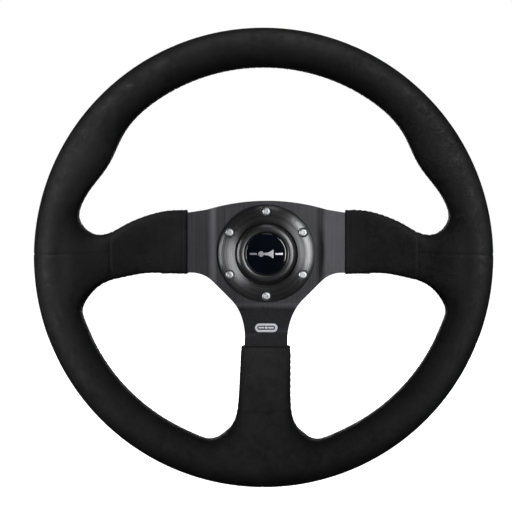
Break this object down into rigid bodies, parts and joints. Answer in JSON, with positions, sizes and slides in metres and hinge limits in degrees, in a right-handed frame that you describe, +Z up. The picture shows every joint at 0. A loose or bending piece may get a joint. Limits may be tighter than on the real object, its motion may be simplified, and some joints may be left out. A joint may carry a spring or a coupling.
{
  "type": "quick release steering wheel",
  "caption": "Round dished racing wheel with black suede grip, brushed black spoke plate, central horn button and a splined quick release hub behind.",
  "frame": {"origin": "centre of the hub's rear face, where it bolts to the steering column's boss", "axes": "+Y along the steering axis towards the column, +Z up with the wheel upright, +X to the driver's right; the driver sits on the -Y side"},
  "size_m": [0.35, 0.14, 0.35],
  "materials": {
    "suede": "fine napped black suede",
    "foam": "moulded integral-skin foam",
    "plate": "black hairline-brushed anodising",
    "core_steel": "welded tube",
    "machined_steel": "machined",
    "bright_screws": "bright plated",
    "black_anodised": "satin black anodising",
    "collar_anodised": "satin black anodising, finger scallops",
    "black_plastic": "fine matt moulding",
    "gloss_black": "clear-domed gloss",
    "contact_brass": "bright stamped",
    "badge_silver": "satin silver",
    "lead_red": "smooth insulation",
    "lead_black": "smooth insulation"
  },
  "bodies": {
    "column_hub": {"hub_base": "machined_steel", "hub_insulator": "black_plastic", "hub_centre_contact": "contact_brass", "hub_ring_contact": "contact_brass", "hub_screw_1": "bright_screws", "hub_screw_2": "bright_screws", "hub_screw_3": "bright_screws", "hub_screw_4": "bright_screws", "hub_screw_5": "bright_screws", "hub_screw_6": "bright_screws"},
    "wheel": {"spoke_plate": "plate", "rim_core": "core_steel", "grip_foam": "foam", "rim_cover_top": "suede", "rim_cover_lower_left": "suede", "rim_cover_lower_right": "suede", "spoke_cover_left": "suede", "spoke_cover_right": "suede", "spoke_cover_bottom": "suede", "spoke_badge": "badge_silver", "horn_bezel": "black_anodised", "bezel_screw_1": "bright_screws", "bezel_screw_2": "bright_screws", "bezel_screw_3": "bright_screws", "bezel_screw_4": "bright_screws", "bezel_screw_5": "bright_screws", "bezel_screw_6": "bright_screws", "horn_housing": "black_plastic", "fixed_contact": "contact_brass", "terminal_tab_left": "contact_brass", "terminal_tab_right": "contact_brass", "horn_lead_live": "lead_red", "horn_lead_earth": "lead_black", "horn_spring": "machined_steel", "release_body": "black_anodised", "collar_spring": "machined_steel", "collar_circlip": "machined_steel", "lock_ring": "machined_steel", "contact_block": "black_plastic", "contact_pin_centre": "contact_brass", "contact_pin_ring": "contact_brass"},
    "release_collar": {"release_collar": "collar_anodised"},
    "horn_button": {"horn_cap": "black_anodised", "horn_disc": "gloss_black", "moving_contact": "contact_brass"}
  },
  "joints": [
    {"name": "wheel_pull_off", "type": "slide", "parent": "column_hub", "child": "wheel", "axis": [0, -1, 0], "range_m": [0, 0.045], "deforming": ["lock_ring"]},
    {"name": "collar_pull", "type": "slide", "parent": "wheel", "child": "release_collar", "axis": [0, -1, 0], "range_m": [0, 0.008], "stiffness_N_per_m": 2000, "springref_m": -0.006, "deforming": ["collar_spring", "lock_ring"]},
    {"name": "horn_press", "type": "slide", "parent": "wheel", "child": "horn_button", "axis": [0, 1, 0], "range_m": [0, 0.0025], "stiffness_N_per_m": 1500, "springref_m": -0.003, "deforming": ["horn_spring"]}
  ]
}
